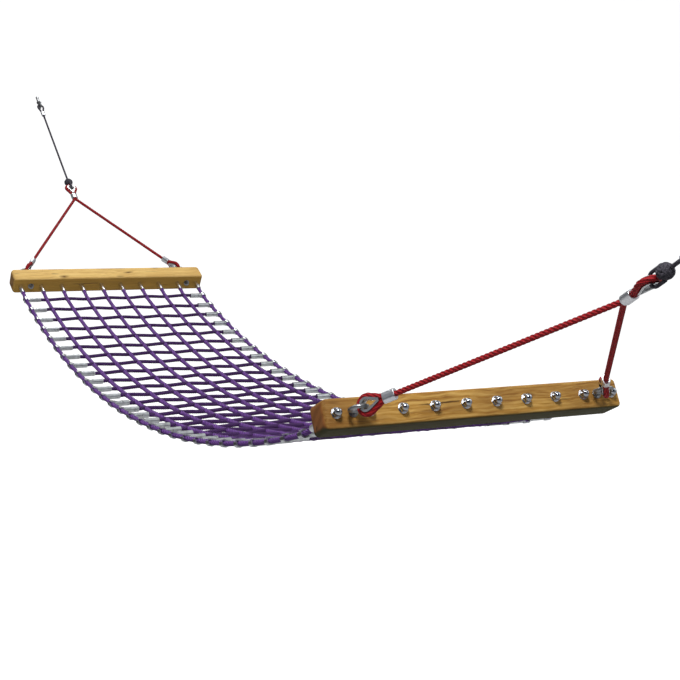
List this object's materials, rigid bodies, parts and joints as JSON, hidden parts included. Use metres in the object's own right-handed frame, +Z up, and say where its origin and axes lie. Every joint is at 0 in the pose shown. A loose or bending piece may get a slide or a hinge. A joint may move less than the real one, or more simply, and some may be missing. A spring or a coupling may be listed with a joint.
{
  "type": "playground net hammock",
  "caption": "Playground net hammock: rope mesh with clamped edges between two timber spreader beams, hung by rope bridles on thimbles, knotted suspension ropes and anchor bolts.",
  "frame": {"origin": "middle of the near anchor bolt's shank", "axes": "+X along the timber beams, +Y from the near beam to the far beam, +Z up, as it hangs at rest"},
  "size_m": [0.97, 5.5312, 1.2582],
  "materials": {
    "near_timber": "oiled, weathered",
    "far_timber": "raw, weathered",
    "purple_rope": "six-strand laid rope",
    "purple_cross_rope": "six-strand laid rope",
    "red_rope": "laid rope",
    "grey_rope": "braided rope",
    "aluminium": "pressed, satin",
    "stainless_steel": "swaged, satin",
    "chrome": "polished",
    "galvanised_steel": "galvanised"
  },
  "bodies": {
    "anchors": {"near_anchor": "galvanised_steel", "far_anchor": "galvanised_steel"},
    "hangers": {"near_suspension_rope": "grey_rope", "near_eye_ferrule": "aluminium", "near_knot": "grey_rope", "far_suspension_rope": "grey_rope", "far_eye_ferrule": "aluminium", "far_knot": "grey_rope"},
    "near_bridle": {"near_bridle_rope": "red_rope", "near_apex_ferrule": "aluminium", "near_top_thimble": "galvanised_steel", "near_lower_ferrules": "aluminium", "near_lower_thimbles": "galvanised_steel"},
    "net": {"near_beam": "near_timber", "far_beam": "far_timber", "long_rope_01": "purple_rope", "long_rope_02": "purple_rope", "long_rope_03": "purple_rope", "long_rope_04": "purple_rope", "long_rope_05": "purple_rope", "long_rope_06": "purple_rope", "long_rope_07": "purple_rope", "long_rope_08": "purple_rope", "long_rope_09": "purple_rope", "long_rope_10": "purple_rope", "cross_ropes_near": "purple_cross_rope", "cross_ropes_middle": "purple_cross_rope", "cross_ropes_far": "purple_cross_rope", "left_edge_clamps": "aluminium", "right_edge_clamps": "aluminium", "near_rope_terminals": "stainless_steel", "near_dome_washers": "chrome", "near_dome_nuts": "chrome", "near_left_eye_bolt": "galvanised_steel", "near_right_eye_bolt": "galvanised_steel", "near_eye_nuts": "galvanised_steel", "far_rope_terminals": "stainless_steel", "far_dome_washers": "chrome", "far_dome_nuts": "chrome", "far_left_eye_bolt": "galvanised_steel", "far_right_eye_bolt": "galvanised_steel", "far_eye_nuts": "galvanised_steel"},
    "far_bridle": {"far_bridle_rope": "red_rope", "far_apex_ferrule": "aluminium", "far_top_thimble": "galvanised_steel", "far_lower_ferrules": "aluminium", "far_lower_thimbles": "galvanised_steel"}
  },
  "joints": [
    {"name": "swing", "type": "hinge", "parent": "anchors", "child": "hangers", "pos_m": [0, 0.06325, -0.0403], "axis": [0, 0.9981, 0.0619], "range_deg": [-25, 25]},
    {"name": "near_bridle_pivot", "type": "hinge", "parent": "hangers", "child": "near_bridle", "pos_m": [0, 0.21802, -0.13889], "axis": [1, 0, 0], "range_deg": [-3, 3]},
    {"name": "near_beam_pivot", "type": "hinge", "parent": "near_bridle", "child": "net", "pos_m": [0, 0.84255, -0.53676], "axis": [1, 0, 0], "range_deg": [-4.2, 4.2]},
    {"name": "far_bridle_pivot", "type": "hinge", "parent": "net", "child": "far_bridle", "pos_m": [0, 4.17676, -0.53676], "axis": [1, 0, 0], "range_deg": [-4.2, 4.2]}
  ],
  "couplings": [
    {"joint": "near_beam_pivot", "follows": "near_bridle_pivot", "ratio": -1.3746},
    {"joint": "far_bridle_pivot", "follows": "near_bridle_pivot", "ratio": 1.3746}
  ]
}
